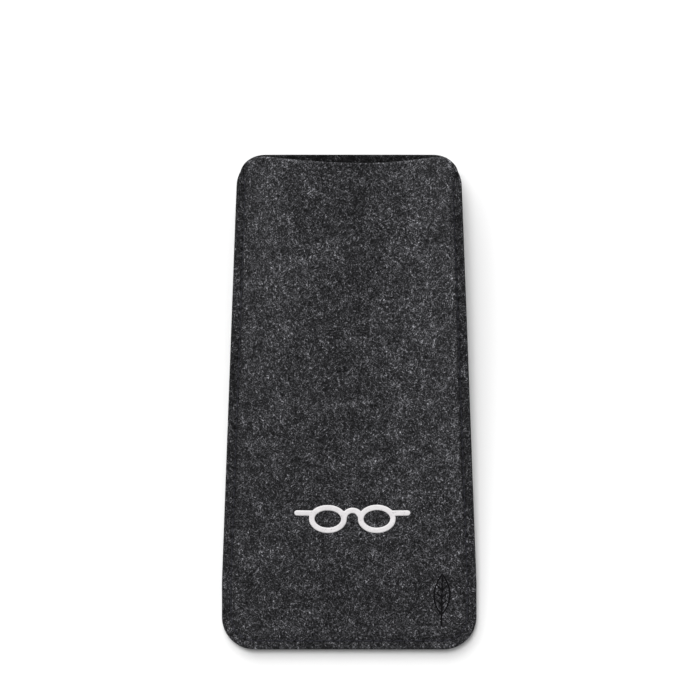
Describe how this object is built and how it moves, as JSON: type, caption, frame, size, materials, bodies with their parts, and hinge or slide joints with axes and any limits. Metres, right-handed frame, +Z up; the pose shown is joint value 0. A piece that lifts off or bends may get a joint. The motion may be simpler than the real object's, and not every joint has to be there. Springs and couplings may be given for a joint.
{
  "type": "eyeglasses case",
  "caption": "Soft felt sleeve for folded glasses: sewn panels with rounded corners, a mouth that bows open, and plain printed marks.",
  "frame": {"origin": "the middle of the sleeve's outline, on the surface that the back panel lies on", "axes": "+Y towards the mouth, +Z up through the front panel, +X to the right as the front is read"},
  "size_m": [0.0926, 0.18, 0.0323],
  "materials": {
    "felt": "matte charcoal melange needle felt with light grey fibres",
    "thread": "twisted polyester sewing thread, near black",
    "white_print": "matte transfer print",
    "dark_print": "matte transfer print in thin lines"
  },
  "bodies": {
    "root": {"front_panel": "felt", "back_panel": "felt", "front_thread": "thread", "back_thread": "thread", "spectacles_print": "white_print", "leaf_print": "dark_print"}
  },
  "joints": []
}
